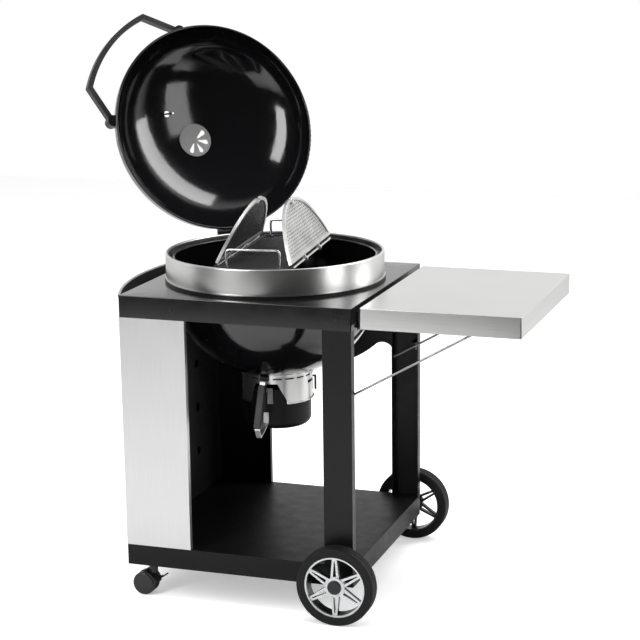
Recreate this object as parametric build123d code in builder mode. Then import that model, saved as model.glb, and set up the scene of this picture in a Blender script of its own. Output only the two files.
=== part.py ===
"""Kettle charcoal grill on a four-wheeled cart, lid open. Millimetres, Z up, front at -Y."""
import os
from math import acos, cos, pi, radians, sin, sqrt

from build123d import *

os.makedirs("parts", exist_ok=True)

# Cart
CART_X, CART_Y = -75.0, -90.7
TRAY_W, TRAY_D = 656.0, 652.0
TRAY_TOP, SKIRT = 848.0, 60.0
SHELF_TOP, SHELF_SKIRT = 146.5, 58.0
SHEET = 2.0
LEG_W, LEG_FLANGE = 80.0, 25.0
PANEL_W, PANEL_FLANGE = 189.0, 15.0
BOW = 71.0
LEFT, RIGHT = CART_X - TRAY_W / 2, CART_X + TRAY_W / 2
FRONT, BACK = CART_Y - TRAY_D / 2, CART_Y + TRAY_D / 2
SKIRT_LOW = TRAY_TOP - SKIRT
SHELF_LOW = SHELF_TOP - SHELF_SKIRT

# Kettle
KX, KY = CART_X - 4.0, CART_Y + 18.0
RING_R, RING_LOW, RING_TOP = 305.0, 856.0, 928.0
BOWL_R, BOWL_DEEP, BOWL_MID, BOWL_WALL = 284.0, 246.0, 818.0, 3.0
BOWL_RIM, BOWL_FLOOR = 913.0, 583.0
KETTLE = Axis((KX, KY, 0), (0, 0, 1))
SECTION = Plane(origin=(KX, KY, 0), x_dir=(1, 0, 0), z_dir=(0, -1, 0))

# Cooking grate, turned a little in the bowl
GRATE_TURN, GRATE_Z, GRATE_R, GRATE_T = 6.3, 920.0, 270.0, 8.0
FLAP_AXIS, FLAP_GAP, FLAP_LEAN = 106.0, 12.0, 22.0
ROD_R, ROD_END = 4.0, 232.0
GRATE = Plane(
    origin=(KX, KY, GRATE_Z),
    x_dir=(cos(radians(GRATE_TURN)), sin(radians(GRATE_TURN)), 0),
    z_dir=(0, 0, 1),
)

# Lid, hinged at the back left and leaning past upright
LID_R, LID_DEEP, LID_WALL, LID_RIM_Z = 306.0, 182.0, 2.5, 928.5
HINGE_AZ, HINGE_R, HINGE_Z, LID_OPEN = 134.3, 313.5, 932.0, 109.0
HINGE_PIN_R, KNUCKLE_R = 3.0, 6.0
OUTWARD = Vector(cos(radians(HINGE_AZ)), sin(radians(HINGE_AZ)), 0)
OPEN_COS, OPEN_SIN = cos(radians(LID_OPEN)), sin(radians(LID_OPEN))
HINGE_POINT = Vector(KX, KY, HINGE_Z) + OUTWARD * HINGE_R
RIM_DROP = LID_RIM_Z - HINGE_Z
LID = Plane(
    origin=HINGE_POINT
    + OUTWARD * (-HINGE_R * OPEN_COS + RIM_DROP * OPEN_SIN)
    + Vector(0, 0, HINGE_R * OPEN_SIN + RIM_DROP * OPEN_COS),
    x_dir=OUTWARD * OPEN_COS + Vector(0, 0, -OPEN_SIN),
    z_dir=OUTWARD * OPEN_SIN + Vector(0, 0, OPEN_COS),
)
LID_SECTION = Plane(origin=LID.origin, x_dir=LID.x_dir, z_dir=LID.y_dir * -1)
LID_AXIS = Axis(LID.origin, LID.z_dir)
VENT_ANGLES = (-128.0, -77.0, -26.0, 25.0)
HANDLE_ANGLE = 133.5

# Ash catcher
BAND_R, BAND_LOW, BAND_TOP = 100.0, 507.0, 590.0
POT_R, POT_LOW, POT_TOP = 95.0, 431.0, 548.0
SWEEP_OPEN, LEVER_AZ = 34.0, 30.0

# Wheels
WHEEL_R, TYRE_W, WHEEL_X, AXLE_R = 107.0, 45.0, LEFT + 623.0, 6.0
CASTER_R, CASTER_X, CASTER_IN, CASTER_TRAIL = 32.5, LEFT + 66.0, 24.0, 23.0

# Folding side shelf
SIDE_GAP, SIDE_W, SIDE_T = 18.0, 427.0, 55.0
SIDE_Y0, SIDE_Y1 = FRONT + 14.0, FRONT + 616.0
SIDE_PIN_X, SIDE_PIN_Z, SIDE_PIN_R = RIGHT + 9.0, 790.0, 2.5
STAY_R, STAY_LEN, STAY_SLOPE, STAY_TAIL = 3.0, 405.0, 29.6, 66.0
STAY_X, STAY_Z = RIGHT - 8.0, 610.5
STAY_Y0, STAY_Y1 = FRONT + 30.0, FRONT + 603.0


def finish(builder, label):
    """Name a finished piece and write it out."""
    builder.part.label = label
    export_step(builder.part, "parts/" + label + ".step")


def on_lid(x, y, z):
    """A point given in the lid's own frame."""
    return LID.origin + LID.x_dir * x + LID.y_dir * y + LID.z_dir * z


def dome_height(radius):
    """Height of the lid's outer skin above its rim plane."""
    return 3.0 + LID_DEEP * sqrt(1 - (radius / LID_R) ** 2)


# ---- Cart sheet metal

with BuildPart() as tray_top:
    with BuildSketch(Plane.XY.offset(SKIRT_LOW)):
        with Locations((CART_X, CART_Y)):
            RectangleRounded(TRAY_W, TRAY_D, 3)
    extrude(amount=SKIRT)
    with BuildSketch(Plane.XY.offset(SKIRT_LOW)):
        with Locations((CART_X, CART_Y)):
            Rectangle(TRAY_W - 2 * SHEET, TRAY_D - 2 * SHEET)
    extrude(amount=SKIRT - SHEET, mode=Mode.SUBTRACT)
    fillet(tray_top.faces().sort_by(Axis.Z)[-1].outer_wire().edges(), 1.5)
    with BuildSketch(Plane.XY.offset(SKIRT_LOW)):
        with Locations((KX, KY)):
            Circle(BOWL_R + 4)
    extrude(amount=SKIRT, mode=Mode.SUBTRACT)
finish(tray_top, "tray_top")

with BuildPart() as bottom_shelf:
    with BuildSketch(Plane.XY.offset(SHELF_LOW)):
        with Locations((CART_X, CART_Y)):
            RectangleRounded(TRAY_W, TRAY_D, 3)
    extrude(amount=SHELF_SKIRT)
    with BuildSketch(Plane.XY.offset(SHELF_LOW)):
        with Locations((CART_X, CART_Y)):
            Rectangle(TRAY_W - 2 * SHEET, TRAY_D - 2 * SHEET)
    extrude(amount=SHELF_SKIRT - SHEET, mode=Mode.SUBTRACT)
    fillet(bottom_shelf.faces().sort_by(Axis.Z)[-1].outer_wire().edges(), 1.5)
    with BuildSketch(Plane(origin=(WHEEL_X, FRONT - 5, WHEEL_R), x_dir=(1, 0, 0), z_dir=(0, 1, 0))):
        Circle(AXLE_R)
    extrude(amount=TRAY_D + 10, mode=Mode.SUBTRACT)
finish(bottom_shelf, "bottom_shelf")


def post(x, y, width, flange, side):
    """A folded channel standing on the bottom shelf, with its web on the cart's front or back."""
    with BuildPart() as channel:
        with BuildSketch(Plane.XY.offset(SHELF_TOP)):
            with Locations((x, y + side * flange / 2)):
                Rectangle(width, flange)
            with Locations((x, y + side * (flange + SHEET) / 2)):
                Rectangle(width - 2 * SHEET, flange - SHEET, mode=Mode.SUBTRACT)
        extrude(amount=SKIRT_LOW - SHELF_TOP)
    return channel


LEG_X = RIGHT - LEG_W / 2
PANEL_X = LEFT + PANEL_W / 2
finish(post(LEG_X, FRONT, LEG_W, LEG_FLANGE, 1), "front_right_leg")
finish(post(LEG_X, BACK, LEG_W, LEG_FLANGE, -1), "back_right_leg")
finish(post(PANEL_X, FRONT, PANEL_W, PANEL_FLANGE, 1), "front_left_panel")
finish(post(PANEL_X, BACK, PANEL_W, PANEL_FLANGE, -1), "back_left_panel")

SLOT_Z = (281.0, 415.0, 548.0)
with BuildPart() as left_inner_wall:
    with BuildSketch(Plane.XY.offset(SHELF_TOP)):
        with Locations((LEFT + 19.75, CART_Y)):
            Rectangle(1.5, TRAY_D - 2 * SHEET)
    extrude(amount=TRAY_TOP - SHEET - SHELF_TOP)
    with Locations([(LEFT + 20, FRONT + y, z) for y in (173, 479) for z in SLOT_Z]):
        Box(10, 23, 22, mode=Mode.SUBTRACT)
finish(left_inner_wall, "left_inner_wall")

with BuildPart() as bowed_side_panel:
    with BuildSketch(Plane.XY.offset(SHELF_TOP)):
        with BuildLine():
            ThreePointArc((LEFT, FRONT + 3), (LEFT - BOW, CART_Y), (LEFT, BACK - 3))
            ThreePointArc((LEFT, FRONT + 7), (LEFT - BOW + 1.5, CART_Y), (LEFT, BACK - 7))
            Line((LEFT, FRONT + 3), (LEFT, FRONT + 7))
            Line((LEFT, BACK - 3), (LEFT, BACK - 7))
        make_face()
    extrude(amount=TRAY_TOP - 6 - SHELF_TOP)
finish(bowed_side_panel, "bowed_side_panel")

with BuildPart() as side_panel_roll:
    with BuildLine(Plane.XY.offset(TRAY_TOP - 3)) as roll_path:
        ThreePointArc((LEFT, FRONT + 7), (LEFT - BOW + 3, CART_Y), (LEFT, BACK - 7))
    with BuildSketch(Plane(origin=roll_path.line @ 0, z_dir=roll_path.line % 0)):
        Circle(4)
    sweep(path=roll_path.line)
    add(bowed_side_panel.part, mode=Mode.SUBTRACT)
    with Locations((CART_X, CART_Y, TRAY_TOP - 30)):
        Box(TRAY_W, TRAY_D, 60, mode=Mode.SUBTRACT)
finish(side_panel_roll, "side_panel_roll")

# Plate behind the bowl: a belly concentric with the bowl, then a rounded gusset to the leg
BELLY_R, BELLY_HALF = 291.0, 195.0
BELLY_Z = BOWL_MID - sqrt(BELLY_R**2 - BELLY_HALF**2)
PLATE_X0 = PANEL_W - TRAY_W / 2
PLATE_X1 = TRAY_W / 2 - LEG_W
with BuildPart() as back_plate:
    with BuildSketch(Plane(origin=(CART_X, BACK, 0), x_dir=(1, 0, 0), z_dir=(0, -1, 0))):
        with BuildLine():
            ThreePointArc(
                (PLATE_X0, BOWL_MID - sqrt(BELLY_R**2 - PLATE_X0**2)),
                (0, BOWL_MID - BELLY_R),
                (BELLY_HALF, BELLY_Z),
            )
            ThreePointArc((BELLY_HALF, BELLY_Z), (222, BELLY_Z + 5), (PLATE_X1, BELLY_Z - 22))
            Line((PLATE_X1, BELLY_Z - 22), (PLATE_X1, SKIRT_LOW))
            Line((PLATE_X1, SKIRT_LOW), (PLATE_X0, SKIRT_LOW))
            Line((PLATE_X0, SKIRT_LOW), (PLATE_X0, BOWL_MID - sqrt(BELLY_R**2 - PLATE_X0**2)))
        make_face()
    extrude(amount=SHEET)
finish(back_plate, "back_plate")

with BuildPart() as tray_screws:
    for y, facing in ((FRONT, -1), (BACK, 1)):
        with BuildSketch(Plane(origin=(LEFT, y, 816), x_dir=(1, 0, 0), z_dir=(0, facing, 0))):
            with Locations((151.5, 0), (616, 0)):
                Circle(5)
        extrude(amount=2.5)
    fillet(tray_screws.faces().sort_by(Axis.Y)[0].edges(), 1.2)
finish(tray_screws, "tray_screws")

# ---- Kettle body

with BuildPart() as kettle_collar:
    with BuildSketch(SECTION):
        with Locations(((BOWL_R + 308) / 2, (TRAY_TOP + RING_LOW) / 2)):
            Rectangle(308 - BOWL_R, RING_LOW - TRAY_TOP)
    revolve(axis=KETTLE)
finish(kettle_collar, "kettle_collar")

with BuildPart() as trim_ring:
    with BuildSketch(SECTION):
        with Locations((RING_R - 0.75, (RING_LOW + RING_TOP - 4) / 2)):
            Rectangle(1.5, RING_TOP - 4 - RING_LOW)
        with Locations((RING_R - 4.2, RING_TOP - 4.2)):
            Circle(4.2)
        with Locations((RING_R + 0.25, RING_LOW + 1.5)):
            Rectangle(3.5, 3)
    revolve(axis=KETTLE)
finish(trim_ring, "trim_ring")

with BuildPart() as bowl:
    with BuildSketch(SECTION):
        with Locations((0, BOWL_MID)):
            Ellipse(BOWL_R, BOWL_DEEP)
            Ellipse(BOWL_R - BOWL_WALL, BOWL_DEEP - BOWL_WALL, mode=Mode.SUBTRACT)
        with Locations((200, (BOWL_FLOOR + BOWL_MID) / 2)):
            Rectangle(400, BOWL_MID - BOWL_FLOOR, mode=Mode.INTERSECT)
        with Locations((BOWL_R - BOWL_WALL / 2, (BOWL_MID + BOWL_RIM) / 2)):
            Rectangle(BOWL_WALL, BOWL_RIM - BOWL_MID)
        with Locations((BOWL_R - BOWL_WALL / 2, BOWL_RIM)):
            Circle(3.5)
        with Locations(((BOWL_R + RING_R - 1.5) / 2 - 0.5, 901.5)):
            Rectangle(RING_R - 0.5 - BOWL_R, 3)
        with Locations((45, BOWL_FLOOR + 1.5)):
            Rectangle(90, 3)
    revolve(axis=KETTLE)
    with BuildSketch(Plane.XY.offset(BOWL_FLOOR - 5)):
        with Locations((KX, KY)):
            Circle(AXLE_R + 0.06)
            with PolarLocations(55, 3):
                SlotOverall(50, 28)
    extrude(amount=12, mode=Mode.SUBTRACT)
finish(bowl, "bowl")

# Lugs welded inside the bowl under the two grates
with BuildPart() as grate_lugs:
    with Locations((KX, KY, GRATE_Z - GRATE_T / 2 - 4)):
        with Locations([Location((0, 0, 0), (0, 0, GRATE_TURN + a)) for a in (74, 106, 254, 286)]):
            with Locations((270, 0)):
                Box(26, 24, 8)
    with Locations((KX, KY, 696)):
        with PolarLocations(238, 4, start_angle=45):
            Box(30, 24, 8)
    add(bowl.part, mode=Mode.SUBTRACT)
    with Locations((KX, KY, 800)):
        Cylinder(BOWL_R - 1.5, 400, mode=Mode.INTERSECT)
    with BuildSketch(SECTION):
        with Locations((0, BOWL_MID)):
            Ellipse(BOWL_R - 1, BOWL_DEEP - 1)
        with Locations((-200, BOWL_MID)):
            Rectangle(400, 700, mode=Mode.SUBTRACT)
        with Locations((140, BOWL_MID + 100)):
            Rectangle(280, 200)
    revolve(axis=KETTLE, mode=Mode.INTERSECT)
finish(grate_lugs, "grate_lugs")

with BuildPart() as charcoal_grate:
    with BuildSketch(SECTION):
        with Locations((233, 703)):
            Rectangle(8, 6)
    revolve(axis=KETTLE)
    with BuildSketch(Plane.XY.offset(701)):
        with Locations((KX, KY)):
            with GridLocations(30, 1, 15, 1):
                Rectangle(6, 480)
            Rectangle(480, 8)
            Circle(234, mode=Mode.INTERSECT)
    extrude(amount=4)
finish(charcoal_grate, "charcoal_grate")

# ---- Cooking grate with two folding sides, both raised


def grate_slots(plane, columns, keep_radius, centre, keep_from):
    """Long slots cut through a grate, kept inside its plain border."""
    with BuildSketch(plane) as slots:
        with Locations((centre[0], 0)):
            with GridLocations(12, 56, columns, 9):
                Rectangle(6, 50)
        with Locations((centre[1], 0)):
            Circle(keep_radius, mode=Mode.INTERSECT)
        with Locations((keep_from + 300, 0)):
            Rectangle(600, 600, mode=Mode.INTERSECT)
    return slots


LOOP_U, LOOP_S, LOOP_TOP = 73.0, 245.0, 49.0
center_slots = grate_slots(GRATE.offset(-GRATE_T / 2), 15, GRATE_R - 9, (0, 0), -300)
with BuildPart() as grate_center:
    with BuildSketch(GRATE.offset(-GRATE_T / 2)):
        Circle(GRATE_R)
        Rectangle(192, 2 * GRATE_R, mode=Mode.INTERSECT)
    extrude(amount=GRATE_T)
    add(center_slots.sketch)
    extrude(amount=GRATE_T, mode=Mode.SUBTRACT)
    with BuildSketch(GRATE.offset(-GRATE_T / 2)):
        with GridLocations(2 * LOOP_U, 2 * LOOP_S, 2, 2):
            Circle(8)
        with GridLocations(2 * 101, 2 * (ROD_END + 5), 2, 2):
            Rectangle(18, 10)
    extrude(amount=GRATE_T)
finish(grate_center, "grate_center")

with BuildPart() as grate_wire_loops:
    for end in (-1, 1):
        middle = GRATE.origin + GRATE.y_dir * (LOOP_S * end)
        upright_plane = Plane(origin=middle, x_dir=GRATE.x_dir, z_dir=GRATE.y_dir * -1)
        with BuildLine(upright_plane) as bend:
            FilletPolyline(
                (-LOOP_U, GRATE_T / 2),
                (-LOOP_U, LOOP_TOP),
                (LOOP_U, LOOP_TOP),
                (LOOP_U, GRATE_T / 2),
                radius=9,
            )
        foot = middle - GRATE.x_dir * LOOP_U + GRATE.z_dir * (GRATE_T / 2)
        with BuildSketch(Plane(origin=foot, x_dir=GRATE.x_dir, z_dir=(0, 0, 1))):
            Circle(3.3)
        sweep(path=bend.line)
finish(grate_wire_loops, "grate_wire_loops")

with BuildPart() as grate_rods:
    for side in (-1, 1):
        start = GRATE.origin + GRATE.x_dir * (side * FLAP_AXIS) - GRATE.y_dir * ROD_END
        with BuildSketch(Plane(origin=start, x_dir=GRATE.x_dir, z_dir=GRATE.y_dir)):
            Circle(ROD_R)
        extrude(amount=2 * ROD_END)
finish(grate_rods, "grate_rods")


def side_flap(side):
    """One raised side of the cooking grate, hinged on its rod by two knuckles."""
    origin = GRATE.origin + GRATE.x_dir * (side * FLAP_AXIS)
    rise = Vector(0, 0, cos(radians(FLAP_LEAN))) - GRATE.x_dir * (side * sin(radians(FLAP_LEAN)))
    across = GRATE.y_dir * side
    plate = Plane(origin=origin, x_dir=rise, z_dir=rise.cross(across))
    slots = grate_slots(plate.offset(-GRATE_T / 2), 12, GRATE_R - 9, (92, -FLAP_AXIS), 22)
    with BuildPart() as flap:
        with BuildSketch(plate.offset(-GRATE_T / 2)):
            with Locations((-FLAP_AXIS, 0)):
                Circle(GRATE_R)
            with Locations((FLAP_GAP + 100, 0)):
                Rectangle(200, 600, mode=Mode.INTERSECT)
            with Locations((GRATE_R - FLAP_AXIS, 0)):
                Circle(9, mode=Mode.SUBTRACT)
        extrude(amount=GRATE_T)
        add(slots.sketch)
        extrude(amount=GRATE_T, mode=Mode.SUBTRACT)
        for s in (-85, 85):
            start = origin + across * (s - 6)
            end_face = Plane(origin=start, x_dir=rise, z_dir=across)
            with BuildSketch(end_face):
                Circle(ROD_R + 3.5)
                with Locations((8, 0)):
                    Rectangle(14, GRATE_T)
            extrude(amount=12)
            with BuildSketch(end_face):
                Circle(ROD_R + 0.08)
            extrude(amount=12, mode=Mode.SUBTRACT)
    return flap


finish(side_flap(-1), "left_flap")
finish(side_flap(1), "right_flap")

# ---- Lid


def dome_curve(top_radius, wall):
    """Points down one skin of the dome, from a radius near the vent to the rim plane."""
    across, deep = LID_R - wall, LID_DEEP - wall
    first = acos(top_radius / across) if top_radius else pi / 2
    angles = [first * (1 - k / 12) for k in range(13)]
    return [(across * cos(a), 3 + deep * sin(a)) for a in angles]


with BuildPart() as lid_core:
    with BuildSketch(LID_SECTION):
        with BuildLine():
            outer = Spline(dome_curve(0, 0), tangents=[(1, 0), (0, -1)])
            Polyline(outer @ 1, (0, 3), outer @ 0)
        make_face()
    revolve(axis=LID_AXIS)

with BuildPart() as lid:
    with BuildSketch(LID_SECTION):
        with BuildLine():
            outer = Spline(dome_curve(44, 0))
            inner = Spline(dome_curve(44, LID_WALL))
            Line(outer @ 0, inner @ 0)
            Line(outer @ 1, inner @ 1)
        make_face()
        with Locations((LID_R - 2.7, 3.2)):
            Circle(3.2)
    revolve(axis=LID_AXIS)
finish(lid, "lid")


def vent_disc(radius, height, thickness, half, bore):
    """A disc over the lid's vent with four petal holes and a pivot bore."""
    with BuildPart() as disc:
        with BuildSketch(LID.offset(height)):
            Circle(radius)
            Circle(bore, mode=Mode.SUBTRACT)
            with Locations([Location((0, 0, 0), (0, 0, a)) for a in VENT_ANGLES]):
                Polygon((9, -1.8), (35, -half), (35, half), (9, 1.8), align=None, mode=Mode.SUBTRACT)
                with Locations((35, 0)):
                    Circle(half, mode=Mode.SUBTRACT)
        extrude(amount=thickness)
    return disc


VENT_SEAT = 3 + (LID_DEEP - LID_WALL) * sqrt(1 - (50 / (LID_R - LID_WALL)) ** 2)
lid_vent_plate = vent_disc(50, VENT_SEAT - 2, 2, 7.4, 4)
DAMPER_Z = 3 + LID_DEEP - 0.6
with BuildPart() as lid_vent_damper:
    add(vent_disc(46, DAMPER_Z, 2, 8.0, 4.08).part)
    with BuildSketch(LID.offset(DAMPER_Z + 2)):
        with Locations(Location((0, 0, 0), (0, 0, 150))):
            with Locations((36, 0)):
                SlotOverall(16, 6)
    extrude(amount=14)
finish(lid_vent_damper, "lid_vent_damper")

with BuildPart() as lid_vent_seat:
    add(lid_vent_plate.part)
    add(lid.part, mode=Mode.SUBTRACT)
    with BuildSketch(LID.offset(VENT_SEAT - 4)):
        Circle(7)
    extrude(amount=2)
    with BuildSketch(LID.offset(VENT_SEAT - 3)):
        Circle(4)
    extrude(amount=DAMPER_Z + 6 - VENT_SEAT)
    with BuildSketch(LID.offset(DAMPER_Z + 2.4)):
        Circle(7)
    extrude(amount=2)
finish(lid_vent_seat, "lid_vent_plate")

# Thermometer between the vent and the handle
DIAL_R = 120.0
DIAL_TILT = radians(DIAL_R / LID_R**2) / radians(1) / (sqrt(1 - (DIAL_R / LID_R) ** 2) / LID_DEEP)
FACING = Vector(cos(radians(HANDLE_ANGLE)), sin(radians(HANDLE_ANGLE)), 0)
radial = LID.x_dir * FACING.X + LID.y_dir * FACING.Y
dial_normal = (radial * DIAL_TILT + LID.z_dir).normalized()
DIAL = Plane(
    origin=on_lid(DIAL_R * FACING.X, DIAL_R * FACING.Y, dome_height(DIAL_R)),
    x_dir=LID.z_dir.cross(radial),
    z_dir=dial_normal,
)
with BuildPart() as thermometer_body:
    with BuildSketch(DIAL.offset(-12)):
        Circle(13)
    extrude(amount=18)
    add(lid_core.part, mode=Mode.SUBTRACT)
    with BuildSketch(DIAL.offset(5)):
        Circle(30)
    extrude(amount=12)
    fillet(thermometer_body.faces().sort_by(Axis(DIAL.origin, DIAL.z_dir))[-1].edges(), 2)
    with BuildSketch(DIAL.offset(12)):
        Circle(26)
    extrude(amount=6, mode=Mode.SUBTRACT)
finish(thermometer_body, "thermometer_body")

with BuildPart() as thermometer_dial:
    with BuildSketch(DIAL.offset(12)):
        Circle(26)
    extrude(amount=1.5)
    with BuildSketch(DIAL.offset(13.5)):
        Circle(3)
        with Locations(Location((0, 0, 0), (0, 0, 200))):
            with Locations((9, 0)):
                Rectangle(20, 1.6)
    extrude(amount=1)
finish(thermometer_dial, "thermometer_dial")

with BuildPart() as thermometer_nut:
    with BuildSketch(DIAL.offset(-9)):
        Circle(9)
        Circle(3, mode=Mode.SUBTRACT)
    extrude(amount=9)
    with BuildSketch(DIAL.offset(-45)):
        Circle(3)
    extrude(amount=45)
    add(lid.part, mode=Mode.SUBTRACT)
    with BuildSketch(LID_SECTION):
        with Locations((0, 3)):
            Ellipse(LID_R - 1, LID_DEEP - 1)
        with Locations((200, 203)):
            Rectangle(400, 400, mode=Mode.INTERSECT)
    revolve(axis=LID_AXIS, mode=Mode.INTERSECT)
finish(thermometer_nut, "thermometer_nut")

# Lid handle: two straight arms and a bowed grip, on two feet on the dome
HAND = Plane(origin=LID.origin, x_dir=radial, z_dir=LID.z_dir)
GRIP_X, GRIP_BOW, GRIP_HALF, FOOT_HALF, FOOT_X = 357.0, 29.0, 140.0, 177.0, 250.0
with BuildPart() as lid_handle:
    with BuildSketch(HAND.offset(33)):
        with BuildLine():
            Line((FOOT_X, -FOOT_HALF), (GRIP_X, -GRIP_HALF))
            ThreePointArc((GRIP_X, -GRIP_HALF), (GRIP_X + GRIP_BOW, 0), (GRIP_X, GRIP_HALF))
            Line((GRIP_X, GRIP_HALF), (FOOT_X, FOOT_HALF))
        trace(line_width=15)
    extrude(amount=24)
    add(lid_core.part, mode=Mode.SUBTRACT)
finish(lid_handle, "lid_handle")

with BuildPart() as lid_handle_feet:
    with BuildSketch(HAND.offset(28)):
        with Locations((FOOT_X - 3, -FOOT_HALF), (FOOT_X - 3, FOOT_HALF)):
            Circle(17)
    extrude(amount=34)
    add(lid_handle.part, mode=Mode.SUBTRACT)
    add(lid_core.part, mode=Mode.SUBTRACT)
    add(lid.part, mode=Mode.SUBTRACT)
finish(lid_handle_feet, "lid_handle_feet")

with BuildPart() as lid_hinge_leaf:
    with BuildSketch(LID_SECTION.offset(-28)):
        with Locations((HINGE_R, HINGE_Z - LID_RIM_Z)):
            Circle(KNUCKLE_R)
        with Locations((HINGE_R - 5, HINGE_Z - LID_RIM_Z + 20)):
            Rectangle(22, 40)
    extrude(amount=56)
    add(lid_core.part, mode=Mode.SUBTRACT)
    add(lid.part, mode=Mode.SUBTRACT)
    with BuildSketch(LID_SECTION.offset(-29)):
        with Locations((HINGE_R, HINGE_Z - LID_RIM_Z)):
            Circle(HINGE_PIN_R + 0.06)
    extrude(amount=58, mode=Mode.SUBTRACT)
finish(lid_hinge_leaf, "lid_hinge_leaf")

ALONG = OUTWARD.cross(Vector(0, 0, 1))
HINGE_SECTION = Plane(origin=(KX, KY, 0), x_dir=OUTWARD, z_dir=ALONG)
with BuildPart() as lid_hinge_base:
    with BuildSketch(HINGE_SECTION.offset(-42)):
        with Locations((304.5, 892)):
            Rectangle(29, 48)
    extrude(amount=84)
    for start in (-42, 29):
        with BuildSketch(HINGE_SECTION.offset(start)):
            with Locations((HINGE_R, HINGE_Z)):
                Circle(KNUCKLE_R)
            with Locations((HINGE_R, HINGE_Z - 14)):
                Rectangle(2 * KNUCKLE_R, 28)
        extrude(amount=13)
    with Locations((KX, KY, 900)):
        Cylinder(RING_R, 120, mode=Mode.SUBTRACT)
    with BuildSketch(HINGE_SECTION.offset(-44)):
        with Locations((HINGE_R, HINGE_Z)):
            Circle(HINGE_PIN_R)
    extrude(amount=88)
finish(lid_hinge_base, "lid_hinge_base")

# ---- Ash catcher under the bowl

with BuildPart() as ash_band:
    with BuildSketch(SECTION):
        with Locations((BAND_R - 1, (BAND_LOW + BAND_TOP) / 2)):
            Rectangle(2, BAND_TOP - BAND_LOW)
        with Locations((BAND_R + 0.5, BAND_LOW + 1.25)):
            Rectangle(5, 2.5)
    revolve(axis=KETTLE)
    with Locations((KX, KY, 579)):
        with PolarLocations(BAND_R - 1, 18, start_angle=10):
            Box(10, 25, 4.2, mode=Mode.SUBTRACT)
    with BuildSketch(Plane.XY.offset(555.5)):
        with Locations(Location((KX, KY, 0), (0, 0, LEVER_AZ - SWEEP_OPEN / 2))):
            Polygon((0, 0), (110, -50), (110, 50), align=None)
    extrude(amount=8, mode=Mode.SUBTRACT)
    with BuildSketch(SECTION.offset(80)):
        Polygon((-30, 565), (34, 565), (66, 500), (-50, 500), align=None)
    extrude(amount=30, mode=Mode.SUBTRACT)
    add(bowl.part, mode=Mode.SUBTRACT)
finish(ash_band, "ash_band")

with BuildPart() as ash_sweeper:
    with BuildSketch(Plane.XY.offset(BOWL_FLOOR + 4)):
        with Locations((KX, KY)):
            with PolarLocations(45, 3, start_angle=SWEEP_OPEN):
                SlotOverall(68, 30)
            Circle(14)
    extrude(amount=3)
    with BuildSketch(Plane.XY.offset(553)):
        with Locations((KX, KY)):
            Circle(AXLE_R)
    extrude(amount=BOWL_FLOOR + 12 - 553)
    with BuildSketch(Plane.XY.offset(557.8)):
        with Locations(Location((KX, KY, 0), (0, 0, LEVER_AZ))):
            with Locations((53, 0)):
                Rectangle(110, 11)
    extrude(amount=3)
    with BuildSketch(Plane.XY.offset(520)):
        with Locations(Location((KX, KY, 0), (0, 0, LEVER_AZ))):
            with Locations((109, 0)):
                Rectangle(4, 14)
    extrude(amount=40.8)
finish(ash_sweeper, "ash_sweeper")

with BuildPart() as ash_pot:
    with BuildSketch(Plane.XY.offset(POT_LOW)):
        with Locations((KX, KY)):
            Circle(POT_R)
    extrude(amount=POT_TOP - POT_LOW)
    fillet(ash_pot.edges().group_by(Axis.Z)[0], 22)
    offset(amount=-1.5, openings=ash_pot.faces().sort_by(Axis.Z)[-1])
finish(ash_pot, "ash_pot")

# Pot handle in the fore-and-aft plane through the kettle's axis
POT_SIDE = Plane(origin=(KX, KY, 0), x_dir=(0, -1, 0), z_dir=(-1, 0, 0))
with BuildPart() as ash_handle_strap:
    with BuildSketch(POT_SIDE.offset(-20)):
        with Locations((94.5, 530)):
            Rectangle(4, 44)
    extrude(amount=40)
    with BuildSketch(POT_SIDE.offset(-7.5)):
        with BuildLine():
            Polyline((95, 545), (106, 545), (109, 568), (119, 573), (122, 563))
        trace(line_width=2.5)
        with BuildLine():
            Polyline((95, 482), (97, 452), (156, 427), (166.5, 449), (165, 456))
        trace(line_width=2.5)
    extrude(amount=15)
    with Locations((KX, KY - 95, 522)):
        Box(10, 20, 40, mode=Mode.SUBTRACT)
    with Locations((KX, KY, 480)):
        Cylinder(POT_R, 140, mode=Mode.SUBTRACT)
finish(ash_handle_strap, "ash_handle_strap")

with BuildPart() as ash_handle_grip:
    with BuildSketch(POT_SIDE.offset(-11)):
        Polygon((112, 566), (128, 569), (174, 456), (158, 450), align=None)
    extrude(amount=22)
    fillet(ash_handle_grip.edges(), 3)
    add(ash_handle_strap.part, mode=Mode.SUBTRACT)
finish(ash_handle_grip, "ash_handle_grip")

with BuildPart() as ash_catch:
    with BuildSketch(POT_SIDE.offset(-12)):
        with Locations((104.5, 582)):
            Rectangle(12, 12)
    extrude(amount=24)
    with Locations((KX, KY, 560)):
        Cylinder(BAND_R, 80, mode=Mode.SUBTRACT)
    add(bowl.part, mode=Mode.SUBTRACT)
finish(ash_catch, "ash_catch")

# ---- Big wheels and axle

with BuildPart() as axle:
    with BuildSketch(Plane(origin=(WHEEL_X, FRONT - 56, WHEEL_R), x_dir=(1, 0, 0), z_dir=(0, 1, 0))):
        Circle(AXLE_R)
    extrude(amount=TRAY_D + 112)
finish(axle, "axle")

with BuildPart() as axle_collars:
    for y, facing in ((FRONT, -1), (BACK, 1)):
        with BuildSketch(Plane(origin=(WHEEL_X, y, WHEEL_R), x_dir=(1, 0, 0), z_dir=(0, facing, 0))):
            Circle(11)
            Circle(AXLE_R, mode=Mode.SUBTRACT)
        extrude(amount=18.5)
finish(axle_collars, "axle_collars")


def wheel_plane(side, depth):
    """Plane of a wheel section, depth counted outwards from the wheel's inner face."""
    y = (FRONT - 19 - depth) if side < 0 else (BACK + 19 + depth)
    return Plane(origin=(WHEEL_X, y, WHEEL_R), x_dir=(1, 0, 0), z_dir=(0, side, 0))


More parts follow.
